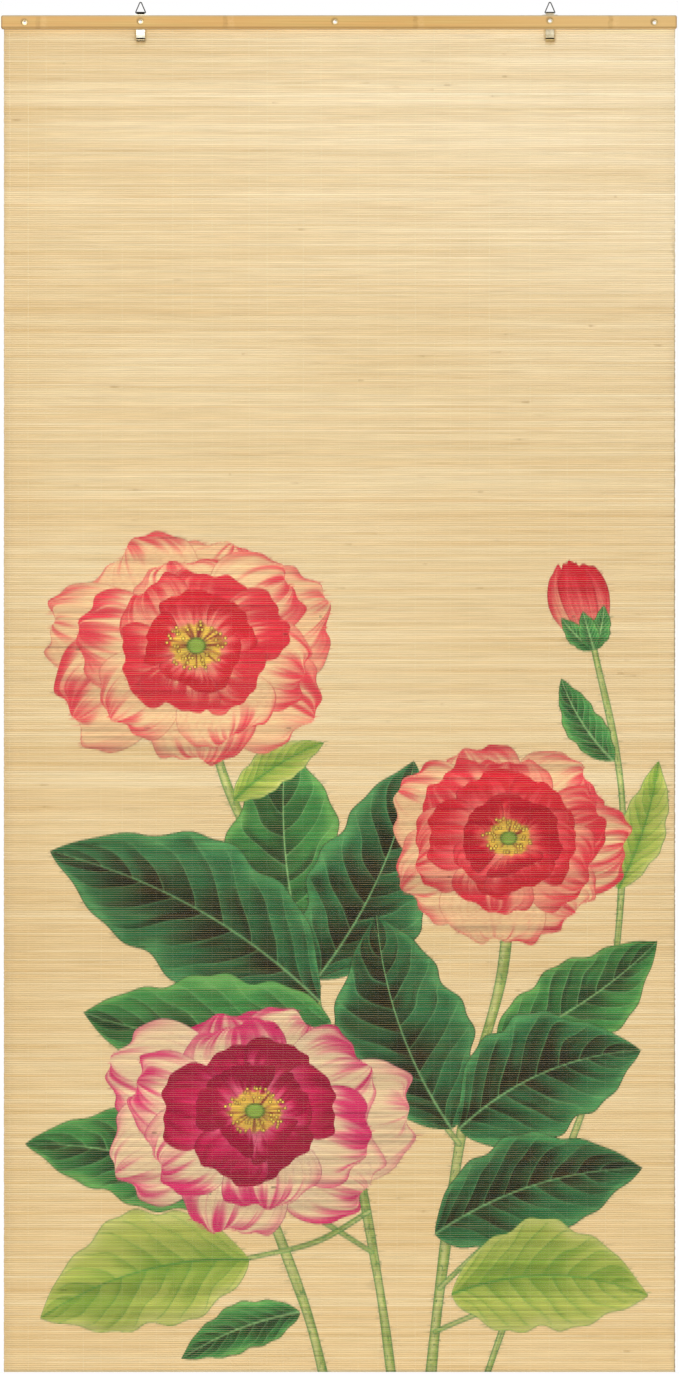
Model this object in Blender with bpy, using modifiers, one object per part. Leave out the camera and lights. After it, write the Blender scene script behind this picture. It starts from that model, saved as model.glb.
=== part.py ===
"""Bamboo blind that hangs flat from two wire rings.

A cloth of thin bamboo slivers is clamped at its top between two bamboo laths. Five hollow rivets
hold the head together. Two of them also hold a hanger each, bent from one steel strip: a rolled
eye at the top that carries a triangular ring, shoulders behind the front lath, and a small hook.

Frame: metres, +Z up, +X to the right seen from the front, -Y to the front. The origin lies on the
line on which both rings hang, above the middle of the head.
"""
import math

import bmesh
import bpy
from mathutils import Matrix, Vector

# Driving dimensions, in metres
LATH_WIDTH = 0.900
LATH_HEIGHT = 0.018
FRONT_LATH_THICKNESS = 0.005
BACK_LATH_THICKNESS = 0.004
LATH_TOP_Z = -0.0166
LATH_EDGE_RADIUS = 0.0012
LATH_CORNER_RADIUS = 0.0025

CLOTH_WIDTH = 0.8933
CLOTH_THICKNESS = 0.0016
CLOTH_BELOW_LATH_TOP = 0.001
CLOTH_BOTTOM_Z = -1.8239

WIRE_DIAMETER = 0.0015
RING_BAR_LENGTH = 0.0112
RING_BAR_Z = -0.0133
RING_CORNER_RADIUS = 0.0009
RING_TOP_RADIUS = 0.0014

STRIP_THICKNESS = 0.0005
STRIP_WIDTH = 0.0114
EYE_WIDTH = 0.0108
EYE_WRAP = math.radians(285)
SHOULDER_WIDTH = 0.021
SHOULDER_TOP_Z = -0.0157
SHOULDER_BOTTOM_Z = -0.0320
SHOULDER_SLOPE = 0.0006
HOOK_LEAN = math.radians(6)
HOOK_BOTTOM_Z = -0.0514
HOOK_INNER_RADIUS = 0.0015
HOOK_LIP_HEIGHT = 0.0008
HOOK_LIP_ROUNDING = 0.0006

RIVET_BORE_RADIUS = 0.0023
RIVET_SHANK_RADIUS = 0.0027
RIVET_FLANGE_RADIUS = 0.0040
RIVET_FLANGE_HEIGHT = 0.0008

# The air between two pieces that touch
GAP = 0.0003

# The rivets along the head; each was set by eye, so they are not quite in line
RIVETS = [
    # name, x, z
    ("rivet_left_end", -0.4185, -0.0264),
    ("rivet_left_hanger", -0.2643, -0.0251),
    ("rivet_middle", -0.0053, -0.0254),
    ("rivet_right_hanger", 0.2810, -0.0240),
    ("rivet_right_end", 0.4201, -0.0263),
]

# Each hanger sits on one of the rivets
HANGERS = [
    # side, rivet
    ("left", "rivet_left_hanger"),
    ("right", "rivet_right_hanger"),
]

# Depths, worked out from the ring's plane at y = 0 to the back
WIRE_RADIUS = WIRE_DIAMETER / 2
EYE_RADIUS = WIRE_RADIUS + GAP + STRIP_THICKNESS / 2
STRIP_Y = EYE_RADIUS
FRONT_LATH_BACK_Y = STRIP_Y - STRIP_THICKNESS / 2 - GAP
FRONT_LATH_FRONT_Y = FRONT_LATH_BACK_Y - FRONT_LATH_THICKNESS
CLOTH_FRONT_Y = STRIP_Y + STRIP_THICKNESS / 2 + GAP
CLOTH_BACK_Y = CLOTH_FRONT_Y + CLOTH_THICKNESS
BACK_LATH_FRONT_Y = CLOTH_BACK_Y + GAP
BACK_LATH_BACK_Y = BACK_LATH_FRONT_Y + BACK_LATH_THICKNESS
RIVET_FRONT_Y = FRONT_LATH_FRONT_Y - GAP - RIVET_FLANGE_HEIGHT
RIVET_BACK_Y = BACK_LATH_BACK_Y + GAP + RIVET_FLANGE_HEIGHT
RIVET_HOLE_RADIUS = RIVET_SHANK_RADIUS + GAP
LATH_BOTTOM_Z = LATH_TOP_Z - LATH_HEIGHT

# How finely round forms are divided
RIVET_SIDES = 32
LATH_CORNER_SEGMENTS = 4
LATH_EDGE_SEGMENTS = 2
EYE_STEPS = 20
HOOK_STEPS = 12
RING_ARC_STEPS = 7
WIRE_BEVEL_RESOLUTION = 2
MERGE_DISTANCE = 0.00001

FINISHES = {
    # material: colour, roughness, metallic
    "bamboo_cloth": ((0.77, 0.59, 0.34, 1.0), 0.55, 0.0),
    "bamboo_lath": ((0.73, 0.45, 0.17, 1.0), 0.45, 0.0),
    "nickel_plated_steel": ((0.60, 0.57, 0.52, 1.0), 0.28, 1.0),
    "steel_wire": ((0.50, 0.50, 0.49, 1.0), 0.30, 1.0),
}


def clear_scene():
    """Remove the objects that are in the scene."""
    for obj in list(bpy.data.objects):
        bpy.data.objects.remove(obj, do_unlink=True)


def new_collection(name):
    """Add a collection to the scene."""
    collection = bpy.data.collections.new(name)
    bpy.context.scene.collection.children.link(collection)
    return collection


def make_material(name, finish):
    """A Principled material from its line in the table of finishes."""
    color, roughness, metallic = FINISHES[finish]
    material = bpy.data.materials.new(name)
    material.use_nodes = True
    shader = material.node_tree.nodes["Principled BSDF"]
    shader.inputs["Base Color"].default_value = color
    shader.inputs["Roughness"].default_value = roughness
    shader.inputs["Metallic"].default_value = metallic
    return material


def add_object(name, mesh, collection, finish):
    """Link a mesh as an object with a material of its own."""
    obj = bpy.data.objects.new(name, mesh)
    obj.data.materials.append(make_material(name, finish))
    collection.objects.link(obj)
    return obj


def mesh_from_bmesh(name, bm):
    """Keep a bmesh as a new mesh."""
    mesh = bpy.data.meshes.new(name)
    bm.to_mesh(mesh)
    bm.free()
    return mesh


def box_bmesh(size_x, size_y, size_z):
    """A box about the origin."""
    bm = bmesh.new()
    bmesh.ops.create_cube(bm, size=1.0)
    bmesh.ops.scale(bm, vec=Vector((size_x, size_y, size_z)), verts=bm.verts)
    return bm


def add_rivet_cutter(name, x, z, collection):
    """A cylinder along Y, longer than the head is deep, that cuts the hole for one rivet."""
    bm = bmesh.new()
    bmesh.ops.create_cone(
        bm, cap_ends=True, segments=RIVET_SIDES,
        radius1=RIVET_HOLE_RADIUS, radius2=RIVET_HOLE_RADIUS,
        depth=2 * (RIVET_BACK_Y - RIVET_FRONT_Y),
    )
    bmesh.ops.rotate(bm, matrix=Matrix.Rotation(math.pi / 2, 3, "X"), verts=bm.verts)
    cutter = bpy.data.objects.new(name, mesh_from_bmesh(name, bm))
    cutter.location = (x, (RIVET_FRONT_Y + RIVET_BACK_Y) / 2, z)
    cutter.hide_render = True
    cutter.display_type = "WIRE"
    collection.objects.link(cutter)
    return cutter


def cut(obj, cutters):
    """Cut each cutter out of an object."""
    for cutter in cutters:
        hole = obj.modifiers.new(cutter.name, "BOOLEAN")
        hole.operation = "DIFFERENCE"
        hole.solver = "EXACT"
        hole.object = cutter


def add_lath(name, front_y, back_y, collection, cutters):
    """A flat lath: rounded corners seen from the front, eased edges all round, rivet holes."""
    bm = box_bmesh(LATH_WIDTH, back_y - front_y, LATH_HEIGHT)
    corners = [e for e in bm.edges if abs(e.verts[0].co.y - e.verts[1].co.y) > LATH_EDGE_RADIUS]
    bmesh.ops.bevel(
        bm, geom=corners, affect="EDGES", profile=0.5,
        offset=LATH_CORNER_RADIUS, segments=LATH_CORNER_SEGMENTS,
    )
    lath = add_object(name, mesh_from_bmesh(name, bm), collection, "bamboo_lath")
    lath.location = (0.0, (front_y + back_y) / 2, (LATH_TOP_Z + LATH_BOTTOM_Z) / 2)
    edges = lath.modifiers.new("eased edges", "BEVEL")
    edges.width = LATH_EDGE_RADIUS
    edges.segments = LATH_EDGE_SEGMENTS
    edges.limit_method = "ANGLE"
    cut(lath, cutters)
    return lath


def add_cloth(collection, cutters):
    """The cloth of slivers as the flat sheet that it makes up, with the rivet holes."""
    top_z = LATH_TOP_Z - CLOTH_BELOW_LATH_TOP
    bm = box_bmesh(CLOTH_WIDTH, CLOTH_THICKNESS, top_z - CLOTH_BOTTOM_Z)
    cloth = add_object("cloth", mesh_from_bmesh("cloth", bm), collection, "bamboo_cloth")
    cloth.location = (0.0, (CLOTH_FRONT_Y + CLOTH_BACK_Y) / 2, (top_z + CLOTH_BOTTOM_Z) / 2)
    cut(cloth, cutters)
    return cloth


def rivet_profile():
    """Half of a hollow rivet's section, as (radius, height) points.

    It runs over the upper flange, down the outside of the shank, round the lower flange and
    closes through the bore.
    """
    half_length = (RIVET_BACK_Y - RIVET_FRONT_Y) / 2
    flange_inside = half_length - RIVET_FLANGE_HEIGHT
    rounding = RIVET_FLANGE_HEIGHT / 2
    upper = [
        (RIVET_BORE_RADIUS, half_length - rounding),
        (RIVET_BORE_RADIUS + rounding / 2, half_length),
        (RIVET_FLANGE_RADIUS - rounding, half_length),
        (RIVET_FLANGE_RADIUS, half_length - rounding),
        (RIVET_FLANGE_RADIUS, flange_inside),
        (RIVET_SHANK_RADIUS, flange_inside),
    ]
    lower = [(radius, -height) for radius, height in reversed(upper)]
    return upper + lower


def add_rivet(name, x, z, collection):
    """A hollow rivet with a flange at either end: its section turned about Y."""
    profile = rivet_profile()
    mesh = bpy.data.meshes.new(name)
    edges = [(i, (i + 1) % len(profile)) for i in range(len(profile))]
    mesh.from_pydata([(radius, 0.0, height) for radius, height in profile], edges, [])
    rivet = add_object(name, mesh, collection, "nickel_plated_steel")
    rivet.location = (x, (RIVET_FRONT_Y + RIVET_BACK_Y) / 2, z)
    rivet.rotation_euler = (math.pi / 2, 0.0, 0.0)
    turned = rivet.modifiers.new("turned", "SCREW")
    turned.steps = RIVET_SIDES
    turned.render_steps = RIVET_SIDES
    turned.use_merge_vertices = True
    turned.merge_threshold = MERGE_DISTANCE
    turned.use_smooth_shade = True
    return rivet


def arc(center, radius, start, end, steps):
    """Points on a circle from one angle to another."""
    angles = [start + (end - start) * i / steps for i in range(steps + 1)]
    return [
        (center[0] + radius * math.cos(angle), center[1] + radius * math.sin(angle))
        for angle in angles
    ]


def strip_stations():
    """The bent strip from its rolled end to its lip, as (y, z, width) stations.

    The eye is an arc round the ring's bar. The strip drops from it straight behind the front
    lath, where shoulders widen it round the rivet. Below the lath it leans a little forward, and
    it ends in a half circle that turns up into the lip.
    """
    stations = [
        (y, z, EYE_WIDTH)
        for y, z in arc((0.0, RING_BAR_Z), EYE_RADIUS, EYE_WRAP, 0.0, EYE_STEPS)
    ]
    stations += [
        (STRIP_Y, SHOULDER_TOP_Z + SHOULDER_SLOPE, EYE_WIDTH),
        (STRIP_Y, SHOULDER_TOP_Z, SHOULDER_WIDTH),
        (STRIP_Y, SHOULDER_BOTTOM_Z + SHOULDER_SLOPE, SHOULDER_WIDTH),
        (STRIP_Y, SHOULDER_BOTTOM_Z, STRIP_WIDTH),
        (STRIP_Y, LATH_BOTTOM_Z, STRIP_WIDTH),
    ]
    hook_radius = HOOK_INNER_RADIUS + STRIP_THICKNESS / 2
    hook_z = HOOK_BOTTOM_Z + STRIP_THICKNESS / 2 + hook_radius
    hook_back_y = STRIP_Y - (LATH_BOTTOM_Z - hook_z) * math.tan(HOOK_LEAN)
    stations += [
        (y, z, STRIP_WIDTH)
        for y, z in arc((hook_back_y - hook_radius, hook_z), hook_radius, 0.0, -math.pi, HOOK_STEPS)
    ]
    lip_y = hook_back_y - 2 * hook_radius
    lip_z = hook_z + HOOK_LIP_HEIGHT
    stations += [
        (lip_y, lip_z - HOOK_LIP_ROUNDING, STRIP_WIDTH),
        (lip_y, lip_z, STRIP_WIDTH - 2 * HOOK_LIP_ROUNDING),
    ]
    return stations


def add_hanger(name, x, collection, rivet_cutter):
    """One steel strip bent through its stations; Solidify gives it its thickness."""
    stations = strip_stations()
    bm = bmesh.new()
    rows = [
        [bm.verts.new((x + side * width / 2, y, z)) for side in (-1, 0, 1)]
        for y, z, width in stations
    ]
    for upper, lower in zip(rows, rows[1:]):
        for column in range(2):
            bm.faces.new((upper[column], lower[column], lower[column + 1], upper[column + 1]))
    hanger = add_object(name, mesh_from_bmesh(name, bm), collection, "nickel_plated_steel")
    sheet = hanger.modifiers.new("sheet thickness", "SOLIDIFY")
    sheet.thickness = STRIP_THICKNESS
    sheet.offset = 0.0
    sheet.use_even_offset = True
    cut(hanger, [rivet_cutter])
    return hanger


def belt(circles, steps):
    """A closed line drawn tight round circles given counter-clockwise as (x, z, radius).

    Each circle keeps the arc between the outward normals of the two straight sides that touch
    it. A side from one circle to the next has the normal on which both reach equally far.
    """
    normals = []
    for (x1, z1, r1), (x2, z2, r2) in zip(circles, circles[1:] + circles[:1]):
        direction = math.atan2(z2 - z1, x2 - x1)
        normals.append(direction - math.acos((r1 - r2) / math.hypot(x2 - x1, z2 - z1)))
    points = []
    for i, (x, z, radius) in enumerate(circles):
        start = normals[i - 1]
        turn = (normals[i] - start) % (2 * math.pi)
        points += arc((x, z), radius, start, start + turn, steps)
    return points


def add_ring(name, x, collection):
    """A triangular ring of round wire: its bar lies in the eye, its inside top at z = 0."""
    half_bar = RING_BAR_LENGTH / 2
    corner_z = RING_BAR_Z + RING_CORNER_RADIUS
    path = belt(
        [
            (-half_bar, corner_z, RING_CORNER_RADIUS),
            (half_bar, corner_z, RING_CORNER_RADIUS),
            (0.0, WIRE_RADIUS - RING_TOP_RADIUS, RING_TOP_RADIUS),
        ],
        RING_ARC_STEPS,
    )
    curve = bpy.data.curves.new(name, "CURVE")
    curve.dimensions = "3D"
    curve.bevel_depth = WIRE_RADIUS
    curve.bevel_resolution = WIRE_BEVEL_RESOLUTION
    spline = curve.splines.new("POLY")
    spline.points.add(len(path) - 1)
    for point, (path_x, path_z) in zip(spline.points, path):
        point.co = (x + path_x, 0.0, path_z, 1.0)
    spline.use_cyclic_u = True
    ring = bpy.data.objects.new(name, curve)
    curve.materials.append(make_material(name, "steel_wire"))
    collection.objects.link(ring)
    return ring


def build_blind():
    """Make every piece of the blind."""
    clear_scene()
    blind = new_collection("bamboo_blind")
    cutter_collection = new_collection("cutters")

    cutters = {}
    rivet_x = {}
    for name, x, z in RIVETS:
        cutters[name] = add_rivet_cutter(f"hole for {name}", x, z, cutter_collection)
        rivet_x[name] = x
        add_rivet(name, x, z, blind)
    holes = list(cutters.values())

    add_lath("head_lath_front", FRONT_LATH_FRONT_Y, FRONT_LATH_BACK_Y, blind, holes)
    add_lath("head_lath_back", BACK_LATH_FRONT_Y, BACK_LATH_BACK_Y, blind, holes)
    add_cloth(blind, holes)

    for side, rivet in HANGERS:
        add_hanger(f"hanger_{side}", rivet_x[rivet], blind, cutters[rivet])
        add_ring(f"ring_{side}", rivet_x[rivet], blind)


build_blind()
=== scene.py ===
"""Looks of the bamboo blind: its slivers, their printed design, the warp threads and the finishes.

The cloth is made up of 620 bamboo slivers, each a closed stick with a nearly flat front. Pairs of
fine warp threads weave over and under them. The design is printed on the fronts alone, so the
bare sides of the slivers show as thin lines through it. The head's laths, rivets, hangers and
rings are the CAD nodes, with procedural finishes.

Lengths are metres in the CAD frame: +Z up, +X right, -Y front. The print is laid out in mm.
"""
import math

import bpy
import numpy as np
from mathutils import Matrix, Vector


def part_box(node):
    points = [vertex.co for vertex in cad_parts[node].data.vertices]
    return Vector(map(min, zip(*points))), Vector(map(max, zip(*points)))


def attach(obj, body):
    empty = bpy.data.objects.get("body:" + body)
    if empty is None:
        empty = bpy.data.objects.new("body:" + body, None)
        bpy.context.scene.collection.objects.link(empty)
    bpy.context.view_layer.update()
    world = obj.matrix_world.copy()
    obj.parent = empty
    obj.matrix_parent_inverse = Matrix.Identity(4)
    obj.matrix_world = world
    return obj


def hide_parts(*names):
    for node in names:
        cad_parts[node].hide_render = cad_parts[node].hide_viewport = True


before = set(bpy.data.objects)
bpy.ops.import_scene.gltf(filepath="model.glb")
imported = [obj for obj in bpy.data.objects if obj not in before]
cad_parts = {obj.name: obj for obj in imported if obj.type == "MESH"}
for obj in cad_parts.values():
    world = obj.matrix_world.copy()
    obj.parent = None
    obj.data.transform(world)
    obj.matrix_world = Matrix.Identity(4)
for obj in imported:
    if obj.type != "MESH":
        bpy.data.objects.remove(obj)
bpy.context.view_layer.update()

MM = 0.001

# The photograph: its size in pixels, a pixel's size at the cloth, and the frame's origin in it
PHOTO_COLUMNS, PHOTO_ROWS = 679, 1374
PIXEL = 1.3323 * MM
ORIGIN_COLUMN, ORIGIN_ROW = 339.0, 3.1

# The cloth, from its CAD sheet and the sliver pitch read off the photograph
CLOTH_LOW, CLOTH_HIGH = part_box("cloth")
RIGHT_REACH = 1.3 * MM        # how far the slivers' right ends lie past the CAD sheet's edge
CLOTH_RIGHT = CLOTH_HIGH.x + RIGHT_REACH
CLOTH_WIDTH = CLOTH_RIGHT - CLOTH_LOW.x
CLOTH_MID_Y = (CLOTH_LOW.y + CLOTH_HIGH.y) / 2
SLIVERS = 620
PITCH = (CLOTH_HIGH.z - CLOTH_LOW.z) / SLIVERS
SLIVER_THICKNESS = 1.34 * MM
SLIVER_SHARE = 0.998          # width of a sliver as a share of the pitch
SLIVER_BEVEL = 0.12 * MM      # from the flat front to the side, seen from the front
EDGE_WANDER = 0.14 * MM       # how far the split edges of a front wander in and out
SHANK_GAP = 3.1 * MM          # half the gap that a rivet's shank breaks in a sliver
BANDS = 5                     # the cloth is kept in this many meshes, one below the other
PAINT_STEP = 0.5              # mm between the print's columns
STOPS_IN_ALL = 95000          # steps along all slivers' fronts together
END_CLEAR = 0.1 * MM          # the least length of a step at a sliver's end
COARSE_STEP = 0.09            # m between the stops along a sliver's sides and back

# The bake's map gives each kind of face a strip: its foot, its height, and how far up a sliver's
# own share of it each of the stick's six rows of points lies
BAKE_STRIPS = (
    (0.005, 0.56, (0.04, 0.96, 0, 0, 0, 0)),
    (0.57, 0.09, (0, 0.08, 0.92, 0, 0, 0)),
    (0.665, 0.09, (0.92, 0, 0, 0, 0, 0.08)),
    (0.76, 0.232, (0, 0, 0.05, 0.22, 0.78, 0.95)),
)

# Warp threads: columns read off the photograph, as mm from the middle
WARPS = np.array([
    -438.6, -414.1, -390.2, -366.2, -340.9, -316.9, -288.9, -264.9, -243.6, -221.0, -195.7,
    -169.0, -143.7, -119.7, -95.7, -74.4, -47.8, -23.8, 0.1, 25.5, 52.1, 77.5, 101.5, 126.8,
    148.1, 173.4, 200.1, 226.7, 254.7, 280.0, 304.0, 330.6, 354.6, 378.6, 402.5, 426.5,
])
THREAD_RADIUS = 0.18 * MM
THREAD_CLEAR = 0.03 * MM      # between a thread and the sliver that it crosses
THREAD_LIES = 0.36            # share of the pitch that it lies flat, to each side of the middle
PAIR_HALF_GAP = 0.15 * MM
RIVET_BERTH = 4.0 * MM        # the least distance of a pair from a rivet's axis

# The laths' joints, as mm from the middle: in front read off the photograph, at the back guessed
FRONT_JOINTS = (-401.0, -151.9, 101.3, 361.1)
BACK_JOINTS = (-330.0, -60.0, 190.0, 405.0)


def rgb(code):
    """The three sRGB channels, from 0 to 1, of a hex text."""
    return np.array([int(code[i:i + 2], 16) / 255 for i in (0, 2, 4)])


def linear(colour):
    """Linear light from sRGB, given as a hex text or as an array from 0 to 1.

    Up to 0.04045 a channel is divided by 12.92; above it, 0.055 is added, the sum is divided by
    1.055 and raised to the power 2.4.
    """
    if isinstance(colour, str):
        colour = rgb(colour)
    return np.where(colour <= 0.04045, colour / 12.92, ((colour + 0.055) / 1.055) ** 2.4)


def ease(low, high, value):
    """0 below low, 1 above high, and three times the square less twice the cube between."""
    t = np.clip((value - low) / (high - low), 0.0, 1.0)
    return t * t * (3 - 2 * t)


def bell(value):
    """e to the power of minus the square: 1 at 0, and nearly 0 from 2 on."""
    return np.exp(-value ** 2)


def noise(u, v, seed):
    """Smooth noise from 0 to 1: random numbers on a unit lattice, eased between the nearest four."""
    table = np.random.default_rng(seed).random((64, 64))
    i, j = np.floor(u).astype(int), np.floor(v).astype(int)
    fu, fv = ease(0.0, 1.0, u - i), ease(0.0, 1.0, v - j)
    near = table[i % 64, j % 64] * (1 - fu) + table[(i + 1) % 64, j % 64] * fu
    far = table[i % 64, (j + 1) % 64] * (1 - fu) + table[(i + 1) % 64, (j + 1) % 64] * fu
    return near * (1 - fv) + far * fv


def mix(a, b, share):
    """Colour a turned towards colour b by a share at each point."""
    return a + (b - a) * share[..., None]


# The printed design, in mm

class Sheet:
    """The print's plane: ink colour and cover at columns x and rows z, rows from the top down."""

    def __init__(self, x, z):
        self.x, self.z = x, z
        self.rgb = np.zeros((len(z), len(x), 3))
        self.ink = np.zeros((len(z), len(x)))

    def window(self, low, high):
        """The rows and columns of a rectangle from its corners, and their x and z."""
        cols = slice(*np.searchsorted(self.x, (low[0], high[0])))
        rows = slice(*np.searchsorted(-self.z, (-high[1], -low[1])))
        return rows, cols, self.x[None, cols], self.z[rows, None]

    def lay(self, rows, cols, colour, cover):
        """Print a colour over what is there, as far as it covers it."""
        self.rgb[rows, cols] = mix(self.rgb[rows, cols], colour, cover)
        self.ink[rows, cols] += (1 - self.ink[rows, cols]) * cover


LEAF_INKS = {
    # shade, body, rim, veins, outline
    "deep": ("141c12", "2a7042", "5ba862", "8cc47c", "141c10"),
    "mid": ("183c22", "3c8c46", "7aba60", "a2d084", "17351a"),
    "light": ("7da03c", "b9c45c", "d6d680", "4f8f3e", "3c7f36"),
}
PETAL_INKS = {
    # foot, wash, tip, outline
    "blush": ("f6dca8", "f3c894", "e2384a", "c45a50"),
    "pink": ("f5c890", "f09a7c", "dc2a3e", "b42c38"),
    "rose": ("f3a884", "ea5258", "d01a30", "a0142a"),
    "crimson": ("ee8068", "dc2a3c", "bc0c2a", "8c0820"),
    "white": ("fae4bc", "f8d8a8", "dc2a68", "a03458"),
    "magenta": ("ee7c90", "cc1450", "a00438", "740228"),
}


def blade(sheet, base, tip, width, bow):
    """The part of the sheet that holds a leaf or petal, and where its points lie on the blade.

    Gives the rows and columns, x and z, the share of the way from base to tip, the distance to
    the left of the midline, a parabola that stands bow mm off the straight line at half way, and
    the length.
    """
    base, tip = np.array(base, float), np.array(tip, float)
    reach = width * 0.62 + abs(bow)
    rows, cols, x, z = sheet.window(np.minimum(base, tip) - reach, np.maximum(base, tip) + reach)
    length = math.hypot(*(tip - base))
    along_x, along_z = (tip - base) / length
    along = ((x - base[0]) * along_x + (z - base[1]) * along_z) / length
    across = (z - base[1]) * along_x - (x - base[0]) * along_z
    return rows, cols, x, z, along, across - 4 * bow * along * (1 - along), length


def half_width(along, width, rise, fall):
    """Half the width: the share to the power rise times the rest to the power fall, 1 at its peak."""
    t = np.clip(along, 1e-4, 1 - 1e-4)
    peak = rise / (rise + fall)
    return width / 2 * (t / peak) ** rise * ((1 - t) / (1 - peak)) ** fall


def within(along, across, half):
    """The share of the way out from midline to margin, the distance inside it, and the cover."""
    out = across / np.maximum(half, 0.5)
    edge = (1 - np.abs(out)) * half
    return out, edge, ease(-0.35, 0.35, edge) * ((along > 0) & (along < 1))


def leaf(sheet, base, tip, width, bow, inks, seed):
    """An oval leaf with a wavy margin: dark by the midrib, side veins that bend to the tip."""
    shade, body, rim, vein, outline = map(rgb, LEAF_INKS[inks])
    rows, cols, x, z, t, across, length = blade(sheet, base, tip, width, bow)
    side = np.sign(across)
    ripple = 1 + 0.06 * np.sin(t * 17 + seed) * side + 0.04 * np.sin(t * 37 + 2 * seed)
    s, edge, cover = within(t, across, half_width(t, width, 0.72, 0.92) * ripple)
    lanes = 9.0
    lane = t * lanes - 2.3 * np.abs(s) ** 1.25 - 0.35 * side + 0.2 * noise(t * 9, s * 3 + 9, seed)
    part = lane - np.floor(lane)
    cloud = noise(x / 34, z / 26, seed + 1) - 0.5
    streak = noise(lane * 5.0, s * 2.5 + 9, seed + 2) - 0.5
    light = np.abs(s) * 0.80 + 0.42 * part + 0.40 * cloud + 0.34 * streak - 0.10 * side + 0.02
    colour = mix(shade, body, ease(0.0, 0.95, light))
    colour = mix(colour, rim, 0.75 * ease(0.70, 1.0, np.abs(s) + 0.25 * cloud))
    off_vein = np.minimum(part, 1 - part) * length / lanes
    colour = mix(colour, vein, 0.55 * bell(off_vein / 0.9) * ease(0.0, 0.15, 1 - np.abs(s)))
    colour = mix(colour, vein, 0.85 * bell(across / (0.5 + 1.5 * (1 - t))))
    colour = mix(colour, outline, 0.8 * bell(edge / 0.9))
    sheet.lay(rows, cols, colour, 0.99 * cover)


def petal(sheet, base, tip, width, bow, inks, start, seed, lean=0.0):
    """A broad petal with a scalloped tip: pale foot, deeper from start on, fine veins fanned out."""
    foot, wash, deep, outline = map(rgb, PETAL_INKS[inks])
    rows, cols, _, _, t, across, _ = blade(sheet, base, tip, width, bow)
    rough = across / (width / 2)
    t = t * (1 + 0.035 * np.sin(rough * 5.3 + seed) + 0.02 * np.sin(rough * 12.7 + 3 * seed))
    half = half_width(t, width, 0.85, 0.42)
    s, edge, cover = within(t, across, half)
    streak = noise(s * 9 + 30, t * 2.2, seed) - 0.5
    fine = noise(s * 26 + 30, t * 3.1, seed + 3) - 0.5
    depth = ease(start, start + 0.48, t + 0.40 * streak + 0.25 * fine + 0.30 * s * lean)
    colour = mix(foot, wash, ease(0.0, 0.75, t + 0.3 * streak))
    colour = mix(colour, deep, depth)
    rim = ease(0.66, 1.0, np.abs(s) + 0.12 * streak) * ease(start - 0.2, start + 0.3, t)
    colour = mix(colour, deep, 0.6 * rim)
    veins = 6.5
    fan = s * veins + 0.35 * streak
    off_vein = np.abs(fan - np.round(fan)) * half / veins
    fine_vein = bell(off_vein / 0.55) * ease(0.04, 0.3, t) * (1 - 0.5 * t)
    colour = mix(colour, outline, 0.26 * fine_vein)
    colour = mix(colour, outline, 0.5 * np.exp(-t / 0.10))
    colour = mix(colour, outline, 0.75 * bell(edge / 0.85))
    sheet.lay(rows, cols, colour, 0.98 * cover)


def stem(sheet, points, width, seed):
    """A stem along a Catmull-Rom line through points: yellow-green, greener margins, small dots."""
    p = np.array(points, float)
    last = len(p) - 1
    share = np.linspace(0, last, 60)
    i = np.clip(share.astype(int), 0, last - 1)
    f = (share - i)[:, None]
    p0, p1, p2, p3 = p[np.maximum(i - 1, 0)], p[i], p[i + 1], p[np.minimum(i + 2, last)]
    line = 0.5 * (2 * p1 + (p2 - p0) * f + (2 * p0 - 5 * p1 + 4 * p2 - p3) * f ** 2
                  + (3 * p1 - p0 - 3 * p2 + p3) * f ** 3)
    rows, cols, x, z = sheet.window(line.min(axis=0) - width, line.max(axis=0) + width)
    shape = np.broadcast_shapes(x.shape, z.shape)
    off, across, run = np.full(shape, 1e9), np.zeros(shape), np.zeros(shape)
    steps = np.diff(line, axis=0)
    lengths = np.hypot(steps[:, 0], steps[:, 1])
    gone = np.concatenate([[0], np.cumsum(lengths)])
    for (ax, az), (dx, dz), length, before in zip(line, steps, lengths, gone):
        t = np.clip(((x - ax) * dx + (z - az) * dz) / length ** 2, 0, 1)
        away = np.hypot(x - ax - t * dx, z - az - t * dz)
        nearer = away < off
        off = np.where(nearer, away, off)
        across = np.where(nearer, ((z - az) * dx - (x - ax) * dz) / length, across)
        run = np.where(nearer, before + t * length, run)
    half = width / 2 * (1 + 0.08 * np.sin(run / 31 + seed))
    edge = half - off
    cloud = noise(run / 26, across / half * 1.5 + 9, seed)
    dots = noise(run / 3.1, across / 2.3 + 40, seed + 1)
    colour = mix(rgb("c3c878"), rgb("93ab52"), ease(0.25, 0.9, cloud))
    colour = mix(colour, rgb("dfdc9a"), 0.5 * bell((across / half - 0.25) / 0.28))
    colour = mix(colour, rgb("5a8a4c"), 0.75 * ease(0.80, 0.88, dots))
    colour = mix(colour, rgb("4f8a4e"), 0.85 * bell(edge / 1.6))
    sheet.lay(rows, cols, colour, 0.97 * ease(-0.35, 0.35, edge))


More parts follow.
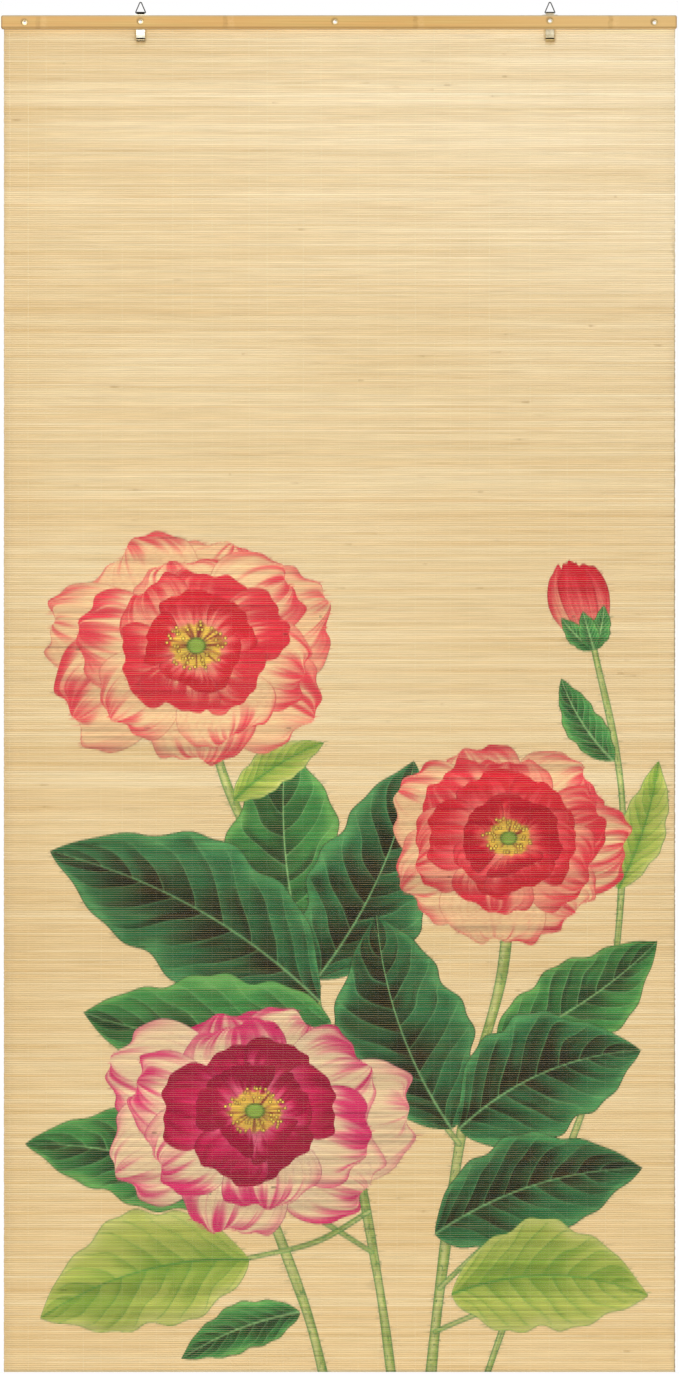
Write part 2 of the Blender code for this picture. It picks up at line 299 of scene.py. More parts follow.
def eye(sheet, centre, size, squash, seed):
    """A flower's green eye, ringed with fine threads that each have a yellow head."""
    rng = np.random.default_rng(seed)
    centre = np.array(centre)
    rows, cols, x, z = sheet.window(centre - size * 1.4, centre + size * 1.4)
    dx, dz = x - centre[0], (z - centre[1]) / squash
    r = np.hypot(dx, dz) / size
    ray = noise(np.arctan2(dz, dx) * 9 + 40, r * 0.8, seed)
    colour = mix(rgb("7a2a2a"), rgb("e9c64a"), ease(0.25, 0.75, ray + 0.3 * r))
    sheet.lay(rows, cols, colour, 0.9 * ease(1.02, 0.86, r + 0.25 * (ray - 0.5)))
    sheet.lay(rows, cols, rgb("8fae4a"), ease(0.36, 0.30, r))
    sheet.lay(rows, cols, rgb("4c6a2e"), 0.8 * bell((r - 0.33) / 0.05))
    for _ in range(46):
        turn, far = rng.uniform(0, 2 * math.pi), size * rng.uniform(0.55, 1.12)
        head = np.hypot(x - centre[0] - far * math.cos(turn), z - centre[1] - far * squash * math.sin(turn))
        sheet.lay(rows, cols, rgb("6a3a20"), 0.85 * ease(2.9, 2.1, head))
        sheet.lay(rows, cols, rgb("f2d75a"), ease(2.0, 1.3, head))


def bloom(sheet, centre, size, squash, turn, inks, seed):
    """An open flower: rings of broad petals, the outer ones first, round an eye."""
    rng = np.random.default_rng(seed)
    rings = [
        # petals, reach, breadth, where the deep ink starts
        (7, 1.00, 0.72, 0.74),
        (6, 0.80, 0.64, 0.62),
        (6, 0.60, 0.52, 0.44),
        (5, 0.40, 0.38, 0.26),
    ]
    for ring, (count, reach, breadth, start) in enumerate(rings):
        spread = rng.uniform(-0.16, 0.16, count)
        turns = turn + 0.5 * ring + np.arange(count) * 2 * math.pi / count + spread
        for k in np.argsort(-np.sin(turns)):
            c, s = math.cos(turns[k]), math.sin(turns[k])
            far = size * reach * rng.uniform(0.88, 1.08)
            base = (centre[0] + 0.10 * size * c, centre[1] + 0.10 * size * squash * s)
            tip = (centre[0] + far * c, centre[1] + far * squash * s + 0.02 * size * ring)
            seen = math.hypot(tip[0] - base[0], tip[1] - base[1]) / far
            broad = size * breadth * rng.uniform(0.9, 1.1) * (1.05 + 0.25 * (1 - seen))
            petal(sheet, base, tip, broad, rng.uniform(-0.07, 0.07) * size, inks[ring],
                  start + rng.uniform(-0.18, 0.14), seed * 31 + ring * 11 + int(k), rng.uniform(-1, 1))
    eye(sheet, (centre[0], centre[1] + 0.02 * size), 0.19 * size, squash, seed)


def bud(sheet, base, tip, width, seed):
    """A closed flower: three petals in an egg, held by small leaves."""
    lean = np.array(tip, float) - base
    side = np.array([-lean[1], lean[0]]) / math.hypot(*lean) * width
    petals = ((0.2, "pink", 0.8), (-0.2, "rose", 0.8), (0.0, "rose", 0.72))
    for k, (off, inks, breadth) in enumerate(petals):
        petal(sheet, base, tip + off * side * 0.5, width * breadth, off * width * 0.9, inks, 0.45, seed + k)
    for off in (-0.45, 0.45, 0.0):
        leaf(sheet, base, base + lean * 0.45 + off * side, width * 0.4, off * 6, "mid", seed + 9)


def print_design(sheet):
    """The whole design: stems, leaves from the far ones on, then the flowers and the bud."""
    stems = [
        # width, points
        (12, [(70, -1830), (52, -1700), (10, -1480), (-60, -1240), (-150, -1040), (-185, -900)]),
        (14, [(122, -1830), (136, -1700), (168, -1480), (216, -1300), (228, -1160)]),
        (13, [(-20, -1830), (-44, -1740), (-96, -1600)]),
        (9, [(196, -1830), (262, -1640), (352, -1380), (378, -1080), (340, -860)]),
        (7, [(44, -1664), (-60, -1604), (-150, -1590), (-240, -1580)]),
        (7, [(40, -1610), (-30, -1650), (-120, -1672), (-200, -1690)]),
        (9, [(20, -1520), (-14, -1420), (-30, -1320)]),
        (7, [(160, -1520), (110, -1450), (90, -1380)]),
        (7, [(134, -1712), (200, -1650), (262, -1600)]),
        (7, [(128, -1770), (190, -1745), (250, -1735)]),
    ]
    for k, (width, points) in enumerate(stems, 1):
        stem(sheet, points, width, k)
    leaves = [
        # base, tip, width, bow, inks
        ((-40, -1290), (-70, -985), 165, 16, "mid"),
        ((210, -1390), (424, -1250), 118, -14, "mid"),
        ((-30, -1300), (100, -1010), 165, -20, "deep"),
        ((-26, -1330), (-385, -1130), 190, -28, "deep"),
        ((-10, -1360), (-340, -1345), 165, 26, "mid"),
        ((150, -1500), (50, -1215), 176, 20, "deep"),
        ((160, -1500), (402, -1395), 165, 24, "deep"),
        ((128, -1640), (404, -1552), 140, 22, "deep"),
        ((150, -1720), (412, -1722), 148, 26, "light"),
        ((-140, -1590), (-418, -1520), 124, -20, "mid"),
        ((-120, -1674), (-398, -1752), 156, -24, "light"),
        ((-52, -1744), (-210, -1806), 64, -9, "mid"),
        ((372, -1180), (426, -1010), 60, -8, "light"),
        ((366, -1010), (296, -900), 50, 8, "mid"),
        ((-140, -1062), (-20, -985), 52, 8, "light"),
    ]
    for k, (base, tip, width, bow, inks) in enumerate(leaves):
        leaf(sheet, base, tip, width, bow, inks, 11 + k)
    bloom(sheet, (-190, -860), 190, 0.84, 0.3, ("blush", "blush", "pink", "rose"), 5)
    bloom(sheet, (226, -1116), 166, 0.80, 0.9, ("blush", "pink", "rose", "crimson"), 8)
    bloom(sheet, (-112, -1480), 196, 0.76, 0.1, ("white", "white", "magenta", "magenta"), 12)
    bud(sheet, (340, -862), (306, -748), 66, 40)


# The slivers and threads

def add_object(name, data):
    """An object of the scene, at the origin, that shows a mesh, light or camera."""
    made = bpy.data.objects.new(name, data)
    bpy.context.scene.collection.objects.link(made)
    return made


def between(a, b):
    """Each step's four corners between two rows: onwards along the first, back along the second."""
    return np.stack([a[:-1], a[1:], b[1:], b[:-1]], axis=1)


def add_mesh(name, points, faces, tints, bake_uv):
    """A mesh from arrays.

    points is one row a vertex. faces, tints and bake_uv are lists of arrays that go together: k
    vertex numbers a face, k linear colours a face, and k places in the bake's map a face.
    """
    mesh = bpy.data.meshes.new(name)
    sizes = np.concatenate([np.full(len(f), f.shape[1]) for f in faces])
    corners = np.concatenate([f.ravel() for f in faces])
    mesh.vertices.add(len(points))
    mesh.vertices.foreach_set("co", np.ascontiguousarray(points, np.float32).ravel())
    mesh.loops.add(len(corners))
    mesh.loops.foreach_set("vertex_index", corners.astype(np.int32))
    mesh.polygons.add(len(sizes))
    mesh.polygons.foreach_set("loop_start", (np.cumsum(sizes) - sizes).astype(np.int32))
    mesh.polygons.foreach_set("use_smooth", np.ones(len(sizes), bool))
    mesh.update(calc_edges=True)
    tint = mesh.color_attributes.new("tint", "FLOAT_COLOR", "CORNER")
    flat = np.concatenate([t.reshape(-1, 3) for t in tints])
    flat = np.column_stack([flat, np.ones(len(flat))])
    tint.data.foreach_set("color", flat.astype(np.float32).ravel())
    places = mesh.uv_layers.new(name="OFBake")
    flat = np.concatenate([u.reshape(-1, 2) for u in bake_uv])
    places.data.foreach_set("uv", flat.astype(np.float32).ravel())
    return add_object(name, mesh)


def streaks(sheet, rng, number, spread, reaches, depths, core):
    """How deep a number of soft streaks are at each sliver and column; the deepest one shows.

    Each lies on one sliver, within spread mm of the middle. It is at its full depth up to core
    times its reach (mm) to either side, and eased to nothing at its reach.
    """
    found = np.zeros((SLIVERS, len(sheet.x)))
    for _ in range(number):
        line, at, reach = rng.integers(SLIVERS), rng.uniform(-spread, spread), rng.uniform(*reaches)
        depth = rng.uniform(*depths)
        found[line] = np.maximum(found[line], depth * ease(reach, reach * core, np.abs(sheet.x - at)))
    return found


def bare_tones(sheet, rng):
    """The bare bamboo's sRGB colour at each sliver and column of the sheet.

    A pale straw tone, made lighter to the upper right by painted light, with a few broad painted
    shades. Each sliver is off it by a little of its own, slivers from one cane lie together in
    bands, and streaks run along each of them. Short streaks and a few brown flecks lie on single
    slivers. The slivers at the head, the lowest one, the cloth round the hooks and the cut ends
    have tones of their own: painted shade and light at the head, painted shade on the lowest
    sliver, a painted shadow round the hooks, and painted shade that darkens the right cut ends.
    """
    one_each = (SLIVERS, 1)
    line = np.arange(SLIVERS)[:, None]
    x = sheet.x[None, :]
    across = (x + 450) / 900
    down = line / SLIVERS
    band = noise(line / 9.0, 3.5, 70) - 0.5 + 0.6 * (noise(line / 3.1, 7.5, 71) - 0.5)
    own = rng.normal(0, 1, one_each)
    long_streak = noise(x / 240 + 41 * rng.random(one_each), line, 72) - 0.5
    short_streak = noise(x / 34 + 41 * rng.random(one_each), line, 73) - 0.5
    patch = noise(x / 260, line / 26.0, 74) - 0.5
    upper = 1 + 1.1 * ease(0.35, 0.0, down)
    tone = 0.031 * upper * band + 0.007 * own + 0.050 * long_streak + 0.010 * short_streak
    tone += 0.024 * patch
    # painted light and shade: paler left of the middle, darker at the head's left, down the left side and
    # low
    tone += 0.018 * np.exp(-((down - 0.255) / 0.06) ** 2 - ((across - 0.34) / 0.20) ** 2)
    tone -= 0.034 * ease(0.055, 0.025, down) * ease(1.0, 0.25, across)
    tone -= 0.020 * ease(0.10, 0.02, across) + 0.014 * ease(0.62, 0.75, down)
    warm = 0.5 * (noise(line / 5.0, 11.5, 75) - 0.5) + 0.14 * rng.normal(0, 1, one_each)
    warm = np.clip(0.5 + warm - 0.4 * long_streak, 0, 1)
    colour = mix(rgb("eed5a4"), rgb("eac992"), warm)
    colour = mix(colour, rgb("f5e0b8"), 0.22 * ease(1.0, 0.3, down))
    # painted light: lighter to the upper right
    lighter = ease(0.0, 1.0, 0.82 - 2.3 * down + 0.75 * ease(0.40, 0.05, down) * (across - 0.5))
    colour = mix(colour, rgb("fae4ba"), 0.90 * lighter)
    # a darker sliver is more saturated too: it loses least in red and most in blue
    colour = colour * (1 + tone[..., None] * [0.72, 1.1, 1.85])
    colour = mix(colour, rgb("b98c50"), streaks(sheet, rng, 1100, 460, (20, 100), (0.0, 0.14), 0.3))
    # painted shade makes the slivers at the head lath's lower edge a little warmer, and painted light makes
    # those behind it paler
    colour = mix(colour, colour * [1.03, 1.005, 0.955], ease(7.7, 6.4, line))
    colour = mix(colour, rgb("ffeec6"), 0.6 * (line < 5.5))
    # painted shade greys the lowest sliver
    colour[-1] *= [0.88, 0.905, 0.94]
    # painted shadow: each hook's shadow browns the cloth beside and below it
    z = sheet.z[1::3, None]
    for name in ("hanger_left", "hanger_right"):
        low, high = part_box(name)
        off = np.abs(x - (low.x + high.x) / 2 / MM)
        beside = 0.40 * ease(9.8, 6.5, off) * ease(-33.0, -36.0, z) * ease(-52.0, -48.0, z)
        below = 0.42 * ease(8.0, 4.5, off) * ease(-59.0, -51.5, z) * ease(-47.0, -50.0, z)
        colour = mix(colour, rgb("a17a3a"), np.maximum(beside, below))
    colour = mix(colour, rgb("8a6238"), streaks(sheet, rng, 100, 440, (1.5, 7.0), (0.05, 0.30), 0.4))
    # the cut ends are greyed, and painted shade greys the right ones more, except at the top
    further_down = ease(0.10, 0.35, down)
    ends = (0.14 + 0.26 * further_down) * ease(2.2, 0.4, x - sheet.x[0])
    ends = ends + (0.30 + 0.68 * further_down) * ease(1.8, 0.5, sheet.x[-1] - x)
    return np.clip(mix(colour, rgb("a08a68"), ends), 0, 1)


def stops_along(front, budget):
    """The columns at which each sliver gets a step, closest where its colours change most.

    The change from column to column is summed along the sliver, with a small constant added,
    and the steps split that sum evenly. A sliver's share of the budget follows its own sum.
    """
    change = np.abs(np.diff(front, axis=2)).sum(axis=(1, 3))
    change = np.minimum(change, 1.0) ** 0.8 + 0.012
    total = change.sum(axis=1)
    share = np.clip(budget * total / total.sum(), 18, 420)
    found = []
    for line in range(len(front)):
        run = np.concatenate([[0], np.cumsum(change[line])])
        wanted = np.linspace(0, run[-1], int(share[line]) + 1)
        found.append(np.unique(np.round(np.interp(wanted, run, np.arange(len(run)))).astype(int)))
    return found


def rivet_places():
    """The x and z of each rivet's axis."""
    boxes = [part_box(name) for name in sorted(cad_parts) if name.startswith("rivet")]
    return [((low.x + high.x) / 2, (low.z + high.z) / 2) for low, high in boxes]


def sliver_pieces(numbers):
    """The sticks of a band as (sliver, from x, to x): whole, or broken where a rivet goes through."""
    rivets = rivet_places()
    found = []
    for line in numbers:
        middle = CLOTH_HIGH.z - (line + 0.5) * PITCH
        cuts = sorted(x for x, z in rivets if abs(z - middle) < SHANK_GAP + PITCH / 2)
        edges = [None] + [c + side * SHANK_GAP for c in cuts for side in (-1, 1)] + [None]
        found += [(line, a, b) for a, b in zip(edges[::2], edges[1::2])]
    return found


def sliver_faces(dense, coarse, first):
    """Vertex numbers of one closed stick: front, bevels as fans, sides and back, ends.

    dense is the number of stops along the front's two edges, coarse the positions among them of
    the stops along the sides and back. first is the number of the first vertex. The rows go
    round the stick: front bottom, front top, side top, back top, back bottom, side bottom.
    """
    few = len(coarse)
    front_low, front_high = first + np.arange(dense), first + dense + np.arange(dense)
    side_high, back_high, back_low, side_low = (
        first + 2 * dense + row * few + np.arange(few) for row in range(4)
    )
    step = np.arange(dense - 1)
    span = np.searchsorted(coarse, step, side="right") - 1
    upper = np.concatenate([
        np.column_stack([front_high[:-1], front_high[1:], side_high[span]]),
        np.column_stack([front_high[coarse[1:]], side_high[1:], side_high[:-1]]),
    ])
    lower = np.concatenate([
        np.column_stack([side_low[span], front_low[1:], front_low[:-1]]),
        np.column_stack([side_low[:-1], side_low[1:], front_low[coarse[1:]]]),
    ])
    back = np.concatenate([
        between(side_high, back_high), between(back_high, back_low), between(back_low, side_low),
    ])
    rows = (front_low, front_high, side_high, back_high, back_low, side_low)
    ring = np.array([[row[0], row[-1]] for row in rows])
    return between(front_low, front_high), upper, lower, back, np.array([ring[:, 0], ring[::-1, 1]])


def add_slivers(name, numbers, sheet, fronts, bare, stops, lies):
    """One band of slivers as one mesh.

    Each stick's section has six corners: the flat front, a bevel to a side edge at half depth,
    and the back. lies gives each sliver's half width, its roll, how far it is set back and how
    far its two ends are trimmed, as each lies a little differently.
    """
    pieces = sliver_pieces(numbers)
    depth = SLIVER_THICKNESS / 2
    points, faces, tints, places = [], [], [], []
    first = 0
    for k, (line, from_x, to_x) in enumerate(pieces):
        half, roll, set_back, trim_left, trim_right = lies[line]
        left = CLOTH_LOW.x + trim_left if from_x is None else from_x
        right = CLOTH_RIGHT - trim_right if to_x is None else to_x
        at = stops[line]
        x = sheet.x[at] * MM
        inside = (x > left + END_CLEAR) & (x < right - END_CLEAR)
        at = np.concatenate([at[inside][:1], at[inside], at[inside][-1:]])
        x = np.concatenate([[left], x[inside], [right]])
        spans = max(1, round((right - left) / COARSE_STEP))
        coarse = np.unique(np.searchsorted(x, np.linspace(left, right, spans + 1)))
        runs = [x, x] + [x[coarse]] * 4
        # the front's two edges wander, the others run straight
        flat = half - SLIVER_BEVEL
        section = np.array([
            (-flat, -depth), (flat, -depth), (half, 0.0), (flat, depth), (-flat, depth), (-half, 0.0),
        ])
        c, s = math.cos(roll), math.sin(roll)
        for corner, (run, (z_off, y_off)) in enumerate(zip(runs, section @ [[c, s], [-s, c]])):
            uneven = EDGE_WANDER * (noise(run / MM / 45 + 9.7 * line, corner + 0.5, 90) - 0.5)
            z = CLOTH_HIGH.z - (line + 0.5) * PITCH + z_off - (corner < 2) * uneven * np.sign(z_off)
            y = np.full(len(run), CLOTH_MID_Y + set_back + y_off)
            points.append(np.column_stack([run, y, z]))
        made = sliver_faces(len(x), coarse, first)
        local = [kind - first for kind in made]
        run = np.concatenate(runs)
        # colours: the print on the front, bare bamboo elsewhere, and in the split sides bare bamboo
        # darkened by painted shade, for the shade in the grooves between slivers
        low, high = fronts[line, 1][at], fronts[line, 0][at]
        groove_shade = 0.68 + 0.34 * (noise(run / MM / 55 + 5.3 * line, 0.5, 91) - 0.5)
        side = bare[line] * [1.09, 0.95, 0.66] * groove_shade[:, None]
        faces += made
        tints += [
            between(low, high),
            side[local[1]],
            side[local[2]],
            np.broadcast_to(bare[line] * 0.93, made[3].shape + (3,)),
            np.broadcast_to(bare[line] * 0.55, made[4].shape + (3,)),
        ]
        # places in the bake's map: fronts, upper bevels, lower bevels, backs, and ends at its right
        u = (run - CLOTH_LOW.x) / CLOTH_WIDTH * 0.98 + 0.004
        for kind, (foot, tall, shares) in zip(local, BAKE_STRIPS):
            share = np.repeat(shares, [len(r) for r in runs])
            v = foot + (line - numbers[0] + share) / len(numbers) * tall
            places.append(np.stack([u[kind], v[kind]], axis=-1))
        ring_z, ring_y = section[:, 0] / half / 2 + 0.5, section[:, 1] / depth / 2 + 0.5
        end = np.column_stack([0.986 + 0.005 * ring_y, (k + 0.1 + 0.8 * ring_z) / len(pieces) * 0.98])
        places.append(np.stack([end, end[::-1] + (0.007, 0.0)]))
        first += len(run)
    return add_mesh(name, np.concatenate(points), faces, tints, places)


def add_threads(name, numbers, sheet):
    """One band's warp threads as one mesh of closed tubes with three sides.

    The two threads of a pair lie side by side. One crosses the front of the even slivers and the
    back of the odd ones, its mate the other way round, and each passes through the gap between
    two slivers on a slant. A pair wanders a little from side to side as it comes down, and bows
    out where a rivet is in its way.
    """
    rivets = rivet_places()
    middle = CLOTH_HIGH.z - (numbers + 0.5) * PITCH
    z = np.stack([middle + THREAD_LIES * PITCH, middle - THREAD_LIES * PITCH], axis=1).ravel()
    reach = SLIVER_THICKNESS / 2 + THREAD_RADIUS + THREAD_CLEAR
    stations = len(z)
    rows = np.repeat(numbers * 3 + 1, 2)
    turn = np.array([-math.pi / 2, math.pi / 6, 5 * math.pi / 6])
    ring_x, ring_y = THREAD_RADIUS * np.cos(turn), THREAD_RADIUS * np.sin(turn)
    a = np.arange(3)
    b = (a + 1) % 3
    v = 0.004 + 0.99 * np.arange(stations) / (stations - 1)
    count = 2 * len(WARPS)
    points, faces, tints, places = [], [], [], []
    for t in range(count):
        pair, mate = divmod(t, 2)
        wander = 0.9 * (noise(z / MM / 95.0, pair * 3.0 + 0.5, 81) - 0.5) * MM
        x = WARPS[pair] * MM + wander + (mate * 2 - 1) * PAIR_HALF_GAP
        for rivet_x, rivet_z in rivets:
            off = WARPS[pair] * MM - rivet_x
            bow = max(0.0, RIVET_BERTH - abs(off)) * (1 if off > 0 else -1)
            x = x + bow * ease(7.5 * MM, 3.5 * MM, np.abs(z - rivet_z))
        behind = np.repeat(np.where((numbers + mate) % 2 == 0, -1.0, 1.0), 2)
        y = CLOTH_MID_Y + behind * reach
        points.append(np.stack(np.broadcast_arrays(
            x[:, None] + ring_x, y[:, None] + ring_y, z[:, None],
        ), axis=-1).reshape(-1, 3))
        base = t * stations * 3
        last = base + stations * 3 - 1
        here = base + np.arange(stations)[:, None] * 3
        faces += [
            between(here + a, here + b).swapaxes(1, 2).reshape(-1, 4),
            np.array([[base, base + 1, base + 2], [last, last - 1, last - 2]]),
        ]
        # a pair's thread is paler in some stretches than in others, and most so near the head
        pale = ease(0.25, 0.75, noise(pair * 7.3, z / MM / 420.0, 82))
        pale = pale * (0.40 + 0.60 * ease(-650.0, -250.0, z / MM))
        column = np.clip(np.searchsorted(sheet.x, WARPS[pair]), 0, len(sheet.x) - 1)
        cover = 0.8 * sheet.ink[rows, column] * (behind < 0)
        colour = linear(mix(mix(rgb("f3dfb0"), rgb("fff6d2"), pale), sheet.rgb[rows, column], cover))
        tints += [
            between(colour, colour).repeat(3, axis=0),
            np.stack([colour[[0, 0, 0]], colour[[-1, -1, -1]]]),
        ]
        # places in the bake's map: three narrow strips for the sides, and the ends at their right
        u = t + 0.31 * a[:, None] + 0.29 * np.array([0, 0, 1, 1])
        end = np.array([t + 0.935, 0.1]) + np.array([[0.0, 0.0], [0.05, 0.0], [0.025, 0.2]])
        places += [
            np.stack(np.broadcast_arrays(u / count, between(v, v)[:, None]), axis=-1).reshape(-1, 4, 2),
            np.stack([end, end + [0, 0.5]]) / [count, 1],
        ]
    return add_mesh(name, np.concatenate(points), faces, tints, places)


def build_cloth():
    """The slivers and threads in bands from the top down; gives the bands and their threads."""
    rng = np.random.default_rng(2024)
    x = np.arange(CLOTH_LOW.x / MM + 0.2, CLOTH_RIGHT / MM, PAINT_STEP)
    middle = CLOTH_HIGH.z / MM - (np.arange(SLIVERS) + 0.5) * PITCH / MM
    edge = PITCH / MM * SLIVER_SHARE / 2 - SLIVER_BEVEL / MM
    z = np.stack([middle + 0.75 * edge, middle, middle - 0.75 * edge], axis=1).ravel()
    sheet = Sheet(x, z)
    print_design(sheet)
    bare = bare_tones(sheet, rng)
    each = np.repeat(bare, 3, axis=0)
    # ink sinks into the bamboo, and each sliver takes more or less of it, as its own tone tells
    grain = each.mean(axis=2, keepdims=True) / bare.mean()
    inked = sheet.rgb * (1 + 2.0 * (grain - 1))
    rows = mix(each, inked, sheet.ink).reshape(SLIVERS, 3, len(x), 3)
    # a front's upper edge takes two parts of the upper row to one of the middle row, and so below
    front = np.stack([2 * rows[:, 0] + rows[:, 1], 2 * rows[:, 2] + rows[:, 1]], axis=1) / 3
    stops = stops_along(front, STOPS_IN_ALL)
    front = linear(np.clip(front, 0, 1))
    plain = linear(bare.mean(axis=1))
    lies = np.column_stack([
        PITCH * SLIVER_SHARE / 2 * (1 - 0.010 * rng.random(SLIVERS)),
        np.radians(rng.normal(0, 1.3, SLIVERS)),
        rng.uniform(-0.04, 0.04, SLIVERS) * MM,
        rng.uniform(0.0, 0.5, SLIVERS) * MM,
        rng.uniform(0.0, 0.5, SLIVERS) * MM,
    ])
    made = []
    for band, numbers in enumerate(np.array_split(np.arange(SLIVERS), BANDS), 1):
        slivers = add_slivers(f"slivers_{band}", numbers, sheet, front, plain, stops, lies)
        threads = add_threads(f"warp_threads_{band}", numbers, sheet)
        made.append((slivers, threads, len(numbers)))
    return made


# Finishes

def add_node(tree, kind, inputs=None, **settings):
    """Add a shader node with its properties; an input gets a value, or a link from an output."""
    node = tree.nodes.new(kind)
    for name, value in settings.items():
        setattr(node, name, value)
    for name, value in (inputs or {}).items():
        if isinstance(value, bpy.types.NodeSocket):
            tree.links.new(value, node.inputs[name])
        else:
            node.inputs[name].default_value = value
    return node


def new_finish(name):
    """A material with an empty node tree; gives both."""
    material = bpy.data.materials.new(name)
    material.use_nodes = True
    material.node_tree.nodes.clear()
    return material, material.node_tree


def surface(tree, looks, height=None, strength=0.0, depth=0.0):
    """The Principled shader with its inputs, and fine relief where a height is given; depth is in m."""
    if height is not None:
        relief = {"Height": height, "Strength": strength, "Distance": depth}
        looks["Normal"] = add_node(tree, "ShaderNodeBump", relief).outputs["Normal"]
    shader = add_node(tree, "ShaderNodeBsdfPrincipled", looks)
    add_node(tree, "ShaderNodeOutputMaterial", {"Surface": shader.outputs["BSDF"]})


def paint(code):
    """A hex text as a linear RGBA socket value."""
    return (*linear(code), 1.0)


def own_axes(tree):
    """The X, Y and Z of a point on the piece, in metres."""
    place = add_node(tree, "ShaderNodeTexCoord").outputs["Object"]
    return add_node(tree, "ShaderNodeSeparateXYZ", {"Vector": place}).outputs


def stretched_noise(tree, scale, detail=3.0):
    """Noise on the object's own coordinates, with features per metre given for X, Y and Z."""
    place = add_node(tree, "ShaderNodeTexCoord").outputs["Object"]
    spread = add_node(tree, "ShaderNodeMapping", {"Scale": scale, "Vector": place}).outputs["Vector"]
    return add_node(
        tree, "ShaderNodeTexNoise", {"Vector": spread, "Scale": 1.0, "Detail": detail, "Roughness": 0.55},
    ).outputs["Fac"]


def ranged(tree, value, low, high):
    """A value from 0.3 to 0.7, noise's usual reach, spread over low to high."""
    return add_node(tree, "ShaderNodeMapRange", {
        "Value": value, "From Min": 0.3, "From Max": 0.7, "To Min": low, "To Max": high,
    }).outputs["Result"]


def eased(tree, value, start, end, high, low=0.0):
    """A value made low up to start and high from end on, eased between; start may lie above end."""
    return add_node(tree, "ShaderNodeMapRange", {
        "Value": value, "From Min": start, "From Max": end, "To Min": low, "To Max": high,
    }, interpolation_type="SMOOTHSTEP").outputs["Result"]


def over(tree, colour, code, *shares):
    """A colour turned towards a hex colour by a share, or by the product of some shares."""
    share = shares[0]
    for other in shares[1:]:
        share = add_node(tree, "ShaderNodeMath", {0: share, 1: other}, operation="MULTIPLY").outputs[0]
    return add_node(
        tree, "ShaderNodeMix", {0: share, 6: colour, 7: paint(code)}, data_type="RGBA",
    ).outputs[2]


def shaded(tree, colour, shade):
    """A colour multiplied by another colour or by a shade."""
    return add_node(
        tree, "ShaderNodeMix", {0: 1.0, 6: colour, 7: shade}, data_type="RGBA", blend_type="MULTIPLY",
    ).outputs[2]


def toned(tree, value, stops):
    """A colour that follows a value; stops are (value, hex colour), the lowest first."""
    ramp = add_node(tree, "ShaderNodeValToRGB", {"Fac": value})
    elements = ramp.color_ramp.elements
    for k, (at, code) in enumerate(stops):
        stop = elements[k] if k < 2 else elements.new(at)
        stop.position = at
        stop.color = paint(code)
    return ramp.outputs["Color"]


def tone_along_z(tree, stops):
    """A colour that changes with height; stops are (z in mm, hex colour), the lowest first."""
    low, high = stops[0][0], stops[-1][0]
    share = add_node(tree, "ShaderNodeMapRange", {
        "Value": own_axes(tree)["Z"], "From Min": low * MM, "From Max": high * MM,
    }).outputs["Result"]
    return toned(tree, share, [((z - low) / (high - low), code) for z, code in stops])


def nearest(tree, place, spots):
    """How far a place is from the nearest of some spots, up to 1 m."""
    found = 1.0
    for spot in spots:
        off = add_node(tree, "ShaderNodeVectorMath", {0: place, 1: spot}, operation="DISTANCE")
        found = add_node(
            tree, "ShaderNodeMath", {0: off.outputs["Value"], 1: found}, operation="MINIMUM",
        ).outputs[0]
    return found


def off_rivets(tree, right, up):
    """How far a point is from the nearest rivet's axis in X and Z; the axes are moved right and up."""
    place = add_node(tree, "ShaderNodeTexCoord").outputs["Object"]
    flat = add_node(tree, "ShaderNodeMapping", {"Scale": (1, 0, 1), "Vector": place}).outputs["Vector"]
    return nearest(tree, flat, [(x + right, 0.0, z + up) for x, z in rivet_places()])


def bamboo_cloth_finish():
    """Split bamboo slivers, bare or printed: satin fibres run along each stick."""
    material, tree = new_finish("split_bamboo_slivers")
    tint = add_node(tree, "ShaderNodeAttribute", attribute_name="tint").outputs["Color"]
    # fibre bundles are about 0.35 mm wide and 60 mm long, in strands 1 mm wide
    bundles = stretched_noise(tree, (16, 2800, 2800), detail=2.0)
    strands = stretched_noise(tree, (20, 1000, 1000))
    both = add_node(tree, "ShaderNodeMath", {0: bundles, 1: strands}, operation="ADD").outputs[0]
    fibres = add_node(tree, "ShaderNodeMapRange", {
        "Value": both, "From Min": 0.75, "From Max": 1.25, "To Min": 0.3, "To Max": 0.7,
    }).outputs["Result"]
    surface(tree, {
        "Base Color": shaded(tree, tint, ranged(tree, fibres, 0.90, 1.09)),
        "Roughness": ranged(tree, fibres, 0.64, 0.50),
        "Specular IOR Level": 0.10,
    }, fibres, 0.25, 0.0001)
    return material


def thread_finish():
    """Undyed polyester thread, twisted: pale and soft, printed over where it lies on the front."""
    material, tree = new_finish("undyed_polyester_thread")
    tint = add_node(tree, "ShaderNodeAttribute", attribute_name="tint").outputs["Color"]
    # a twist about every 0.8 mm
    twist = stretched_noise(tree, (600, 600, 1250), detail=1.0)
    surface(tree, {
        "Base Color": shaded(tree, tint, ranged(tree, twist, 0.86, 1.04)),
        "Roughness": 0.7,
        "Sheen Weight": 0.15,
    })
    return material


